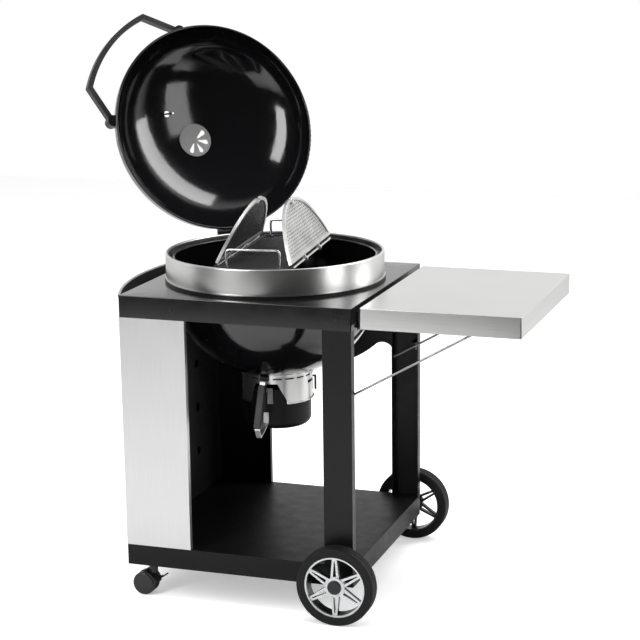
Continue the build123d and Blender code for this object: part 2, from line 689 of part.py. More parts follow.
def tyre(side):
    """Moulded tyre with two grooves round its tread."""
    with BuildPart() as ring:
        with BuildSketch(wheel_plane(side, 0)):
            Circle(WHEEL_R)
            Circle(84, mode=Mode.SUBTRACT)
        extrude(amount=TYRE_W)
        rims = ring.edges().filter_by(GeomType.CIRCLE)
        fillet(rims.filter_by(lambda edge: edge.radius > WHEEL_R - 1), 6)
        for depth in (15, 27):
            with BuildSketch(wheel_plane(side, depth)):
                Circle(WHEEL_R + 1)
                Circle(WHEEL_R - 2, mode=Mode.SUBTRACT)
            extrude(amount=3, mode=Mode.SUBTRACT)
    return ring


def rim(side):
    """Rim, six doubled spokes and a hub bored for the axle."""
    with BuildPart() as disc:
        with BuildSketch(wheel_plane(side, 3)):
            Circle(84)
            Circle(79, mode=Mode.SUBTRACT)
        extrude(amount=39)
        with BuildSketch(wheel_plane(side, 26)):
            with PolarLocations(0, 6, start_angle=30):
                Polygon((20, -12), (81, -6), (81, 6), (20, 12), align=None)
                Polygon((29, -4.5), (73, -1.2), (73, 1.2), (29, 4.5), align=None, mode=Mode.SUBTRACT)
        extrude(amount=13)
        with BuildSketch(wheel_plane(side, 0)):
            Circle(16)
        extrude(amount=30)
        with BuildSketch(wheel_plane(side, 24)):
            Circle(27)
        extrude(amount=17)
        with BuildSketch(wheel_plane(side, -1)):
            Circle(AXLE_R + 0.05)
        extrude(amount=39.5, mode=Mode.SUBTRACT)
    return disc


def cap(side):
    """Centre cap over the end of the axle."""
    with BuildPart() as button:
        with BuildSketch(wheel_plane(side, 41)):
            Circle(19)
        extrude(amount=4.5)
        fillet(button.faces().sort_by(Axis.Y)[0 if side < 0 else -1].edges(), 2)
    return button


for side, where in ((-1, "front"), (1, "back")):
    finish(tyre(side), "wheel_" + where + "_tyre")
    finish(rim(side), "wheel_" + where + "_rim")
    finish(cap(side), "wheel_" + where + "_cap")

# ---- Swivel casters under the two left corners


def caster(side, where):
    """Plate and stem, hood, twin wheels and brake lever of one caster."""
    stem_y = (FRONT + CASTER_IN) if side < 0 else (BACK - CASTER_IN)
    wheel_x = CASTER_X - CASTER_TRAIL

    def upright(offset):
        return Plane(origin=(wheel_x, stem_y + offset, CASTER_R), x_dir=(1, 0, 0), z_dir=(0, -1, 0))

    plate_y = (FRONT + 2 + 30) if side < 0 else (BACK - 2 - 30)
    with BuildPart() as mount:
        with Locations((LEFT + 2 + 55, plate_y, SHELF_LOW + 1.5)):
            Box(110, 60, 3)
        with BuildSketch(Plane.XY.offset(66)):
            with Locations((CASTER_X, stem_y)):
                Circle(6)
        extrude(amount=SHELF_LOW + 1 - 66)
    finish(mount, "caster_" + where + "_mount")

    with BuildPart() as hood:
        with BuildSketch(Plane.XY.offset(64)):
            with Locations((CASTER_X, stem_y)):
                Circle(12)
        extrude(amount=20)
        with BuildSketch(upright(4)):
            Circle(30)
            with Locations((CASTER_TRAIL, 22)):
                Rectangle(22, 34)
        extrude(amount=8)
        with BuildSketch(upright(23)):
            Circle(36)
            Circle(33.2, mode=Mode.SUBTRACT)
            with Locations((30, 30)):
                Rectangle(60, 60, mode=Mode.INTERSECT)
        extrude(amount=46)
        with BuildSketch(upright(4)):
            Circle(34)
            with Locations((30, 30)):
                Rectangle(60, 60, mode=Mode.INTERSECT)
        extrude(amount=8)
        for start in (23, 6):
            with BuildSketch(upright(start)):
                with Locations((38.5, 12)):
                    Circle(3.5)
                with Locations((35.5, 9.5)):
                    Rectangle(5, 5)
            extrude(amount=3)
        with BuildSketch(Plane.XY.offset(65.5)):
            with Locations((CASTER_X, stem_y)):
                Circle(6.08)
        extrude(amount=20, mode=Mode.SUBTRACT)
        with BuildSketch(upright(5)):
            Circle(4.08)
            with Locations((38.5, 12)):
                Circle(1.5)
        extrude(amount=10, mode=Mode.SUBTRACT)
        with BuildSketch(upright(24)):
            with Locations((38.5, 12)):
                Circle(1.5)
        extrude(amount=30, mode=Mode.SUBTRACT)
    finish(hood, "caster_" + where + "_hood")

    with BuildPart() as wheels:
        with BuildSketch(upright(23)):
            Circle(CASTER_R)
        extrude(amount=18)
        with BuildSketch(upright(-5)):
            Circle(CASTER_R)
        extrude(amount=18)
        fillet(wheels.faces().sort_by(Axis.Y)[0].edges(), 7)
        fillet(wheels.faces().sort_by(Axis.Y)[-1].edges(), 7)
        with BuildSketch(upright(6)):
            Circle(4)
        extrude(amount=12)
    finish(wheels, "caster_" + where + "_wheels")

    with BuildPart() as lever:
        with BuildSketch(upright(19.5)):
            with Locations((38.5, 12)):
                Circle(3)
            with BuildLine():
                Polyline((38.5, 12), (44, 14), (58, 24))
            trace(line_width=4)
        extrude(amount=10)
        with BuildSketch(upright(22.9)):
            with Locations((38.5, 12)):
                Circle(1.45)
        extrude(amount=19.8)
    finish(lever, "caster_" + where + "_lever")


caster(-1, "front")
caster(1, "back")

# ---- Folding side shelf and its wire stay

SIDE_X = RIGHT + SIDE_GAP + SIDE_W / 2
SIDE_Y = (SIDE_Y0 + SIDE_Y1) / 2
SIDE_D = SIDE_Y1 - SIDE_Y0
SIDE_LOW = TRAY_TOP - SIDE_T
with BuildPart() as side_shelf:
    with BuildSketch(Plane.XY.offset(SIDE_LOW)):
        with Locations((SIDE_X, SIDE_Y)):
            RectangleRounded(SIDE_W, SIDE_D, 4)
    extrude(amount=SIDE_T)
    with BuildSketch(Plane.XY.offset(SIDE_LOW)):
        with Locations((SIDE_X, SIDE_Y)):
            RectangleRounded(SIDE_W - 3, SIDE_D - 3, 2.5)
    extrude(amount=SIDE_T - 1.5, mode=Mode.SUBTRACT)
    fillet(side_shelf.faces().sort_by(Axis.Z)[-1].outer_wire().edges(), 1.3)
finish(side_shelf, "side_shelf")


def hinge_plane(y):
    """Section of the side shelf's hinge line, extruding towards the back."""
    return Plane(origin=(SIDE_PIN_X, y, SIDE_PIN_Z), x_dir=(-1, 0, 0), z_dir=(0, 1, 0))


HINGE_Y = (FRONT + 60.0, FRONT + 560.0)
with BuildPart() as shelf_hinge_bases:
    for y in HINGE_Y:
        with Locations((RIGHT + 1.5, y + 12, 806)):
            Box(3, 40, 48)
        with BuildSketch(hinge_plane(y)):
            Circle(5)
            with Locations((4, 0)):
                Rectangle(8, 8)
        extrude(amount=12)
        with BuildSketch(hinge_plane(y - 1)):
            Circle(SIDE_PIN_R)
        extrude(amount=28)
finish(shelf_hinge_bases, "shelf_hinge_bases")

with BuildPart() as shelf_hinge_arms:
    for y in HINGE_Y:
        with BuildSketch(hinge_plane(y + 13)):
            Circle(5)
            Polygon((0, -5), (0, 5), (-9, 22), (-9, -5), align=None)
        extrude(amount=12)
        with BuildSketch(hinge_plane(y + 12)):
            Circle(SIDE_PIN_R + 0.06)
        extrude(amount=14, mode=Mode.SUBTRACT)
finish(shelf_hinge_arms, "shelf_hinge_arms")

STAY_DIR = Vector(cos(radians(STAY_SLOPE)), 0, sin(radians(STAY_SLOPE)))
STAY_PIVOT = Vector(STAY_X, 0, STAY_Z)
TAIL_POINT = STAY_PIVOT - STAY_DIR * STAY_TAIL
TIP_POINT = STAY_PIVOT + STAY_DIR * STAY_LEN
with BuildPart() as shelf_stay:
    with BuildLine() as stay_path:
        FilletPolyline(
            (TAIL_POINT.X, STAY_Y0, TAIL_POINT.Z),
            (TIP_POINT.X, STAY_Y0, TIP_POINT.Z),
            (TIP_POINT.X, STAY_Y1, TIP_POINT.Z),
            (TAIL_POINT.X, STAY_Y1, TAIL_POINT.Z),
            radius=12,
        )
    with BuildSketch(Plane(origin=(TAIL_POINT.X, STAY_Y0, TAIL_POINT.Z), z_dir=STAY_DIR)):
        Circle(STAY_R)
    sweep(path=stay_path.line)
    for y, facing in ((STAY_Y0, -1), (STAY_Y1, 1)):
        with BuildSketch(Plane(origin=(STAY_X, y, STAY_Z), x_dir=(1, 0, 0), z_dir=(0, facing, 0))):
            Circle(2.5)
        extrude(amount=17)
finish(shelf_stay, "shelf_stay")

with BuildPart() as stay_brackets:
    with Locations((RIGHT - 10, FRONT + 13.5, STAY_Z)):
        Box(16, 23, 21)
    with Locations((RIGHT - 10, BACK - 22.5, STAY_Z)):
        Box(16, 41, 21)
    for y, facing in ((STAY_Y0, -1), (STAY_Y1, 1)):
        with BuildSketch(Plane(origin=(STAY_X, y, STAY_Z), x_dir=(1, 0, 0), z_dir=(0, facing, 0))):
            Circle(2.56)
        extrude(amount=18, mode=Mode.SUBTRACT)
finish(stay_brackets, "stay_brackets")

with BuildPart() as stay_catches:
    with Locations(
        (TIP_POINT.X, SIDE_Y0 + 120, (TIP_POINT.Z + 4 + TRAY_TOP - 1.5) / 2),
        (TIP_POINT.X, SIDE_Y1 - 120, (TIP_POINT.Z + 4 + TRAY_TOP - 1.5) / 2),
    ):
        Box(26, 30, TRAY_TOP - 1.5 - TIP_POINT.Z - 4)
    with Locations(
        (TIP_POINT.X - 10, SIDE_Y0 + 120, TIP_POINT.Z + 2),
        (TIP_POINT.X - 10, SIDE_Y1 - 120, TIP_POINT.Z + 2),
    ):
        Box(6, 30, 14)
finish(stay_catches, "stay_catches")
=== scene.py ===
import math

import bmesh
import bpy
from mathutils import Matrix, Vector


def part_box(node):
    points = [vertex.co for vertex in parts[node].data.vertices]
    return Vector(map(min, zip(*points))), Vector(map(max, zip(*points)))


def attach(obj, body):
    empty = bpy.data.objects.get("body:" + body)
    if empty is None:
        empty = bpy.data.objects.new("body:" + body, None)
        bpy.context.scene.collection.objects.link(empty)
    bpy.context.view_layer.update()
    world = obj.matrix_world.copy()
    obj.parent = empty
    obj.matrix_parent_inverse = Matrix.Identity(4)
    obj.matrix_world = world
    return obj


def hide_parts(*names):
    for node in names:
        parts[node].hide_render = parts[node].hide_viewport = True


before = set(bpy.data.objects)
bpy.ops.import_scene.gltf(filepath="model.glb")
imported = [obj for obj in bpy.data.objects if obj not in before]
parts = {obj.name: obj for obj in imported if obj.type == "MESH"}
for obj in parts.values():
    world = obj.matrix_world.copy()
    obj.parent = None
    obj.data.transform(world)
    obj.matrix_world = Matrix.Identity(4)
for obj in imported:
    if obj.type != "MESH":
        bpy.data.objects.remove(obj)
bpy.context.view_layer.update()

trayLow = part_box("tray_top")[0]
bowlLow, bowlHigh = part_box("bowl")
kettleX = (bowlLow.x + bowlHigh.x) / 2
kettleY = (bowlLow.y + bowlHigh.y) / 2
print("frame loaded:", len(parts), "parts")


# ---- small tools for node trees

def addNode(tree, kind, values=None, **settings):
    node = tree.nodes.new(kind)
    for name, value in settings.items():
        setattr(node, name, value)
    for name, value in (values or {}).items():
        node.inputs[name].default_value = value
    return node


def join(tree, source, output, target, entry):
    tree.links.new(source.outputs[output], target.inputs[entry])


def startMaterial(name, values):
    material = bpy.data.materials.new(name)
    material.use_nodes = True
    tree = material.node_tree
    shader = tree.nodes["Principled BSDF"]
    for entry, value in values.items():
        shader.inputs[entry].default_value = value
    coords = addNode(tree, "ShaderNodeTexCoord")
    return material, tree, shader, coords


def noiseOf(tree, source, output, scale, detail=4.0, rough=0.55):
    noise = addNode(tree, "ShaderNodeTexNoise", {"Scale": scale, "Detail": detail, "Roughness": rough})
    join(tree, source, output, noise, "Vector")
    return noise


def rangeOf(tree, source, output, fromLow, fromHigh, low, high):
    spread = addNode(tree, "ShaderNodeMapRange", {
        "From Min": fromLow, "From Max": fromHigh, "To Min": low, "To Max": high})
    join(tree, source, output, spread, "Value")
    return spread


def rampOf(tree, source, output, stops):
    ramp = addNode(tree, "ShaderNodeValToRGB")
    for end, (place, colour) in ((0, stops[0]), (1, stops[-1])):
        ramp.color_ramp.elements[end].position = place
        ramp.color_ramp.elements[end].color = (*colour, 1)
    for place, colour in stops[1:-1]:
        ramp.color_ramp.elements.new(place).color = (*colour, 1)
    join(tree, source, output, ramp, "Fac")
    return ramp


def bumpOf(tree, source, output, shader, distance, strength=1.0):
    bump = addNode(tree, "ShaderNodeBump", {"Distance": distance, "Strength": strength})
    join(tree, source, output, bump, "Height")
    join(tree, bump, "Normal", shader, "Normal")
    return bump


# ---- finishes

def coatedSteel(name, look):
    # Powder coat: fine orange peel, faint cloudiness, small dull patches
    material, tree, shader, coords = startMaterial(name, {
        "Specular IOR Level": look["specular"], "Coat Weight": look["coat"], "Coat Roughness": 0.12})
    cloud = noiseOf(tree, coords, "Object", 5.0)
    dark, pale = look["colour"], tuple(c * look["spread"] for c in look["colour"])
    tint = rampOf(tree, cloud, "Fac", [(0.3, dark), (0.7, pale)])
    join(tree, tint, "Color", shader, "Base Color")
    patches = noiseOf(tree, coords, "Object", 26.0, 6.0)
    dull = rangeOf(tree, patches, "Fac", 0.3, 0.7, look["rough"] - 0.04, look["rough"] + 0.05)
    join(tree, dull, "Result", shader, "Roughness")
    peel = noiseOf(tree, coords, "Object", look["grain"], 3.0)
    bumpOf(tree, peel, "Fac", shader, look["relief"])
    return material


def brushedMetal(name, look):
    # Long fine scratches along one axis, or round the kettle when spin is set
    material, tree, shader, coords = startMaterial(name, {"Metallic": 1.0, "Specular IOR Level": 0.5})
    if look.get("spin"):
        centre = addNode(tree, "ShaderNodeMapping")
        centre.inputs["Location"].default_value = (-kettleX, -kettleY, 0)
        join(tree, coords, "Object", centre, "Vector")
        split = addNode(tree, "ShaderNodeSeparateXYZ")
        join(tree, centre, "Vector", split, "Vector")
        angle = addNode(tree, "ShaderNodeMath", operation="ARCTAN2")
        tree.links.new(split.outputs["Y"], angle.inputs[0])
        tree.links.new(split.outputs["X"], angle.inputs[1])
        slow = addNode(tree, "ShaderNodeMath", operation="MULTIPLY")
        slow.inputs[1].default_value = look["round"]
        join(tree, angle, "Value", slow, 0)
        fast = addNode(tree, "ShaderNodeMath", operation="MULTIPLY")
        fast.inputs[1].default_value = look["upright"]
        tree.links.new(split.outputs["Z"], fast.inputs[0])
        along = addNode(tree, "ShaderNodeCombineXYZ")
        join(tree, slow, "Value", along, "X")
        join(tree, fast, "Value", along, "Y")
        source, output = along, "Vector"
    else:
        stretch = addNode(tree, "ShaderNodeMapping")
        stretch.inputs["Scale"].default_value = look["stretch"]
        join(tree, coords, "Object", stretch, "Vector")
        source, output = stretch, "Vector"
    hairs = noiseOf(tree, source, output, 1.0, 6.0, 0.7)
    wide = noiseOf(tree, coords, "Object", 3.0, 2.0)
    tint = rampOf(tree, hairs, "Fac", [(0.25, look["dark"]), (0.75, look["pale"])])
    shade = addNode(tree, "ShaderNodeMixRGB", {"Fac": 0.15}, blend_type="MULTIPLY")
    join(tree, tint, "Color", shade, "Color1")
    wash = rampOf(tree, wide, "Fac", [(0.3, (0.7, 0.7, 0.7)), (0.7, (1.0, 1.0, 1.0))])
    join(tree, wash, "Color", shade, "Color2")
    join(tree, shade, "Color", shader, "Base Color")
    rough = rangeOf(tree, hairs, "Fac", 0.2, 0.8, look["rough"] - 0.03, look["rough"] + 0.04)
    join(tree, rough, "Result", shader, "Roughness")
    bumpOf(tree, hairs, "Fac", shader, look["relief"])
    return material


def brightMetal(name, look):
    # Plated wire and small turned parts, with faint handling marks
    material, tree, shader, coords = startMaterial(name, {"Metallic": 1.0})
    marks = noiseOf(tree, coords, "Object", 60.0, 8.0)
    tint = rampOf(tree, marks, "Fac", [(0.3, look["dark"]), (0.7, look["pale"])])
    join(tree, tint, "Color", shader, "Base Color")
    rough = rangeOf(tree, marks, "Fac", 0.3, 0.7, look["rough"], look["rough"] + 0.1)
    join(tree, rough, "Result", shader, "Roughness")
    bumpOf(tree, marks, "Fac", shader, 0.00004)
    return material


def castIron(name, look):
    # Sand-cast skin: pitted and seasoned, brighter in random patches; the pale look used on the grate flaps
    # is a painted highlight on the same dark cast iron
    material, tree, shader, coords = startMaterial(name, {
        "Metallic": look["metal"], "Specular IOR Level": 0.5})
    pits = noiseOf(tree, coords, "Object", 420.0, 6.0, 0.65)
    season = noiseOf(tree, coords, "Object", 14.0, 4.0)
    tint = rampOf(tree, season, "Fac", [(0.3, look["dark"]), (0.7, look["pale"])])
    join(tree, tint, "Color", shader, "Base Color")
    rough = rangeOf(tree, season, "Fac", 0.3, 0.7, look["rough"] - 0.07, look["rough"] + 0.08)
    join(tree, rough, "Result", shader, "Roughness")
    bumpOf(tree, pits, "Fac", shader, 0.00035)
    return material


def splitRim(tree, coords, shader, look, tint):
    # Silver paint on the outward faces of a wheel, bare black plastic behind them
    edge, side = look["faces"]
    split = addNode(tree, "ShaderNodeSeparateXYZ")
    join(tree, coords, "Object", split, "Vector")
    deep, shallow = look["paintDepth"] + look["paintEdge"], look["paintDepth"] - look["paintEdge"]
    near = rangeOf(tree, split, "Y", edge - side * deep, edge - side * shallow, 0.0, 1.0)
    mix = addNode(tree, "ShaderNodeMixRGB")
    mix.inputs["Color1"].default_value = (*look["inside"], 1)
    join(tree, near, "Result", mix, "Fac")
    join(tree, tint, "Color", mix, "Color2")
    join(tree, mix, "Color", shader, "Base Color")
    shine = addNode(tree, "ShaderNodeMath", operation="MULTIPLY")
    shine.inputs[1].default_value = look["metal"]
    join(tree, near, "Result", shine, 0)
    join(tree, shine, "Value", shader, "Metallic")


def mouldedPlastic(name, look):
    # Spark-eroded grain with slight sink marks
    material, tree, shader, coords = startMaterial(name, {
        "Metallic": look.get("metal", 0.0), "Specular IOR Level": look["specular"]})
    sink = noiseOf(tree, coords, "Object", 18.0, 3.0)
    tint = rampOf(tree, sink, "Fac", [(0.3, look["dark"]), (0.7, look["pale"])])
    join(tree, tint, "Color", shader, "Base Color")
    rough = rangeOf(tree, sink, "Fac", 0.3, 0.7, look["rough"] - 0.05, look["rough"] + 0.06)
    join(tree, rough, "Result", shader, "Roughness")
    if look.get("faces"):
        splitRim(tree, coords, shader, look, tint)
    grain = addNode(tree, "ShaderNodeTexVoronoi", {"Scale": look["grain"]})
    join(tree, coords, "Object", grain, "Vector")
    bumpOf(tree, grain, "Distance", shader, look["relief"])
    return material


finishLooks = {
    "cartBlack": {"colour": (0.006, 0.006, 0.0065), "spread": 1.35, "rough": 0.36, "coat": 0.0,
                  "specular": 0.2, "grain": 900.0, "relief": 0.00006},
    "trayBlack": {"colour": (0.006, 0.006, 0.0065), "spread": 1.3, "rough": 0.18, "coat": 0.12,
                  "specular": 0.45, "grain": 800.0, "relief": 0.00003},
    "shelfBlack": {"colour": (0.003, 0.003, 0.0035), "spread": 1.3, "rough": 0.42, "coat": 0.0,
                   "specular": 0.18, "grain": 800.0, "relief": 0.00005},
    "enamelBlack": {"colour": (0.003, 0.003, 0.0035), "spread": 1.3, "rough": 0.09, "coat": 0.35,
                    "specular": 0.45, "grain": 120.0, "relief": 0.00006},
    "potBlack": {"colour": (0.005, 0.005, 0.0055), "spread": 1.4, "rough": 0.4, "coat": 0.0,
                 "specular": 0.16, "grain": 700.0, "relief": 0.00006},
    "ringSteel": {"spin": True, "round": 1.2, "upright": 900.0, "dark": (0.64, 0.64, 0.63),
                  "pale": (0.72, 0.72, 0.71), "rough": 0.29, "relief": 0.0000015},
    "panelSteel": {"stretch": (900.0, 900.0, 7.0), "dark": (0.50, 0.50, 0.50), "pale": (0.60, 0.60, 0.60),
                   "rough": 0.35, "relief": 0.000004},
    "shelfSteel": {"stretch": (7.0, 900.0, 900.0), "dark": (0.58, 0.58, 0.57), "pale": (0.72, 0.72, 0.71),
                   "rough": 0.30, "relief": 0.00001},
    "plateSteel": {"stretch": (240.0, 240.0, 240.0), "dark": (0.34, 0.34, 0.34), "pale": (0.55, 0.55, 0.54),
                   "rough": 0.30, "relief": 0.00001},
    "brightWire": {"dark": (0.62, 0.62, 0.62), "pale": (0.86, 0.86, 0.86), "rough": 0.12},
    # The stay-rod steel below is plated steel coloured darker than the bright wire, a painted shade for the
    # rods' dimmer look
    "rodSteelPaintedShade": {"dark": (0.20, 0.20, 0.20), "pale": (0.30, 0.30, 0.29), "rough": 0.34},
    "strapSteel": {"dark": (0.55, 0.55, 0.54), "pale": (0.70, 0.70, 0.69), "rough": 0.36},
    "castDark": {"dark": (0.012, 0.012, 0.012), "pale": (0.03, 0.03, 0.03), "rough": 0.5, "metal": 0.2},
    # The pale cast finish below is the same cast iron as castDark, painted pale as a painted highlight on
    # the lit grate flaps
    "castPaintedHighlight": {"dark": (0.42, 0.42, 0.41), "pale": (0.66, 0.66, 0.65), "rough": 0.38, "metal": 0.85},
    "gripBlack": {"dark": (0.009, 0.009, 0.009), "pale": (0.016, 0.016, 0.016), "rough": 0.42,
                  "specular": 0.4, "grain": 1400.0, "relief": 0.0001},
    "tyreRubber": {"dark": (0.005, 0.005, 0.005), "pale": (0.010, 0.010, 0.010), "rough": 0.6,
                   "specular": 0.2, "grain": 1100.0, "relief": 0.00012},
    "rimFront": {"dark": (0.50, 0.51, 0.52), "pale": (0.62, 0.63, 0.64), "rough": 0.30, "metal": 0.7,
                 "specular": 0.5, "grain": 1600.0, "relief": 0.00003,
                 "faces": (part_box("wheel_front_tyre")[0].y, -1), "inside": (0.009, 0.009, 0.009),
                 "paintDepth": 0.008, "paintEdge": 0.0005},
    "rimBack": {"dark": (0.50, 0.51, 0.52), "pale": (0.62, 0.63, 0.64), "rough": 0.30, "metal": 0.7,
                "specular": 0.5, "grain": 1600.0, "relief": 0.00003,
                "faces": (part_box("wheel_back_tyre")[1].y, 1), "inside": (0.009, 0.009, 0.009),
                "paintDepth": 0.008, "paintEdge": 0.0005},
    "casterBlack": {"dark": (0.008, 0.008, 0.009), "pale": (0.015, 0.015, 0.016), "rough": 0.33,
                    "specular": 0.4, "grain": 1500.0, "relief": 0.00005},
    "capBlack": {"dark": (0.006, 0.006, 0.006), "pale": (0.010, 0.010, 0.010), "rough": 0.25,
                 "specular": 0.35, "grain": 1500.0, "relief": 0.00002},
    "dialCream": {"dark": (0.70, 0.70, 0.67), "pale": (0.80, 0.80, 0.77), "rough": 0.3,
                  "specular": 0.5, "grain": 1500.0, "relief": 0.00001},
}
makers = {"cartBlack": coatedSteel, "trayBlack": coatedSteel, "enamelBlack": coatedSteel,
          "potBlack": coatedSteel, "shelfBlack": coatedSteel, "rodSteelPaintedShade": brightMetal,
          "strapSteel": brightMetal, "ringSteel": brushedMetal, "panelSteel": brushedMetal,
          "shelfSteel": brushedMetal, "plateSteel": brushedMetal, "brightWire": brightMetal,
          "castDark": castIron, "castPaintedHighlight": castIron}
finishes = {name: makers.get(name, mouldedPlastic)(name, look) for name, look in finishLooks.items()}
print("finishes:", len(finishes))


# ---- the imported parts: finish and soft shading

def smoothTree():
    tree = bpy.data.node_groups.new("Smooth below an angle", "GeometryNodeTree")
    tree.interface.new_socket("Geometry", in_out="INPUT", socket_type="NodeSocketGeometry")
    tree.interface.new_socket("Angle", in_out="INPUT", socket_type="NodeSocketFloat")
    tree.interface.new_socket("Geometry", in_out="OUTPUT", socket_type="NodeSocketGeometry")
    entry, leave = addNode(tree, "NodeGroupInput"), addNode(tree, "NodeGroupOutput")
    weld = addNode(tree, "GeometryNodeMergeByDistance", {"Distance": 0.00001})
    faces = addNode(tree, "GeometryNodeSetShadeSmooth", {"Shade Smooth": True}, domain="FACE")
    edges = addNode(tree, "GeometryNodeSetShadeSmooth", {"Shade Smooth": False}, domain="EDGE")
    angle = addNode(tree, "GeometryNodeInputMeshEdgeAngle")
    sharp = addNode(tree, "FunctionNodeCompare", data_type="FLOAT", operation="GREATER_THAN")
    join(tree, entry, "Geometry", weld, "Geometry")
    join(tree, weld, "Geometry", faces, "Geometry")
    join(tree, faces, "Geometry", edges, "Geometry")
    join(tree, angle, "Unsigned Angle", sharp, 0)
    join(tree, entry, "Angle", sharp, 1)
    join(tree, sharp, "Result", edges, "Selection")
    join(tree, edges, "Geometry", leave, "Geometry")
    return tree


def treeInput(modifier, name, value):
    for item in modifier.node_group.interface.items_tree:
        if item.in_out == "INPUT" and item.name == name:
            modifier[item.identifier] = value


softShading = smoothTree()


def dress(names, finish, angle=32):
    for name in names.split():
        part = parts[name]
        for place in part.material_slots:
            place.material = finishes[finish]
        if not part.material_slots:
            part.data.materials.append(finishes[finish])
        shading = part.modifiers.new("Soft shading", "NODES")
        shading.node_group = softShading
        treeInput(shading, "Angle", math.radians(angle))


dress("tray_top", "trayBlack")
dress("bottom_shelf", "shelfBlack")
dress("front_right_leg back_right_leg back_left_panel left_inner_wall back_plate kettle_collar"
      " caster_front_mount caster_back_mount stay_brackets shelf_hinge_bases ash_catch stay_catches"
      " lid_hinge_base lid_hinge_leaf lid_handle_feet", "cartBlack")
dress("tray_screws wheel_front_cap wheel_back_cap", "capBlack")
dress("lid bowl", "enamelBlack")
dress("ash_pot", "potBlack")
dress("trim_ring ash_band", "ringSteel")
dress("front_left_panel bowed_side_panel side_panel_roll", "panelSteel")
dress("side_shelf", "shelfSteel")
dress("lid_vent_plate shelf_hinge_arms lid_vent_damper thermometer_body", "plateSteel")
dress("grate_wire_loops grate_rods axle axle_collars thermometer_nut", "brightWire")
# The stay rods' dark steel colour is a painted shade
dress("shelf_stay", "rodSteelPaintedShade")
dress("ash_handle_strap", "strapSteel")
dress("charcoal_grate grate_lugs ash_sweeper", "castDark")
dress("lid_handle ash_handle_grip", "gripBlack")
dress("wheel_front_tyre wheel_back_tyre", "tyreRubber", 40)
dress("wheel_front_rim", "rimFront")
dress("wheel_back_rim", "rimBack")
dress("caster_front_hood caster_back_hood caster_front_wheels caster_back_wheels"
      " caster_front_lever caster_back_lever", "casterBlack")
dress("thermometer_dial", "dialCream")
print("packed parts dressed")


# ---- cooking grate: wavy cast bars inside a plain border

grateLooks = {"turn": 6.3, "height": 0.920, "radius": 0.270, "depth": 0.008, "border": 0.009,
              "pitch": 0.0088, "wave": 0.018, "swing": 0.0028, "barWidth": 0.0025, "barDepth": 0.0052,
              "hingeOut": 0.106, "hingeGap": 0.012, "lean": 22.0, "centreHalf": 0.096,
              "crossBarY": 0.09, "crossBarHalf": 0.004, "crossBarTop": 0.0015,
              "loopX": 0.073, "loopY": 0.245, "loopPad": 0.008,
              "tabFrom": 0.09, "tabTo": 0.11, "tabY": 0.237, "tabHalf": 0.005,
              "knuckleY": 0.085, "knuckleHalf": 0.006, "knuckleRadius": 0.0075, "rodHole": 0.00408,
              "webFrom": 0.0065, "webTo": 0.016, "notch": 0.009, "barsBelowTop": 0.016}


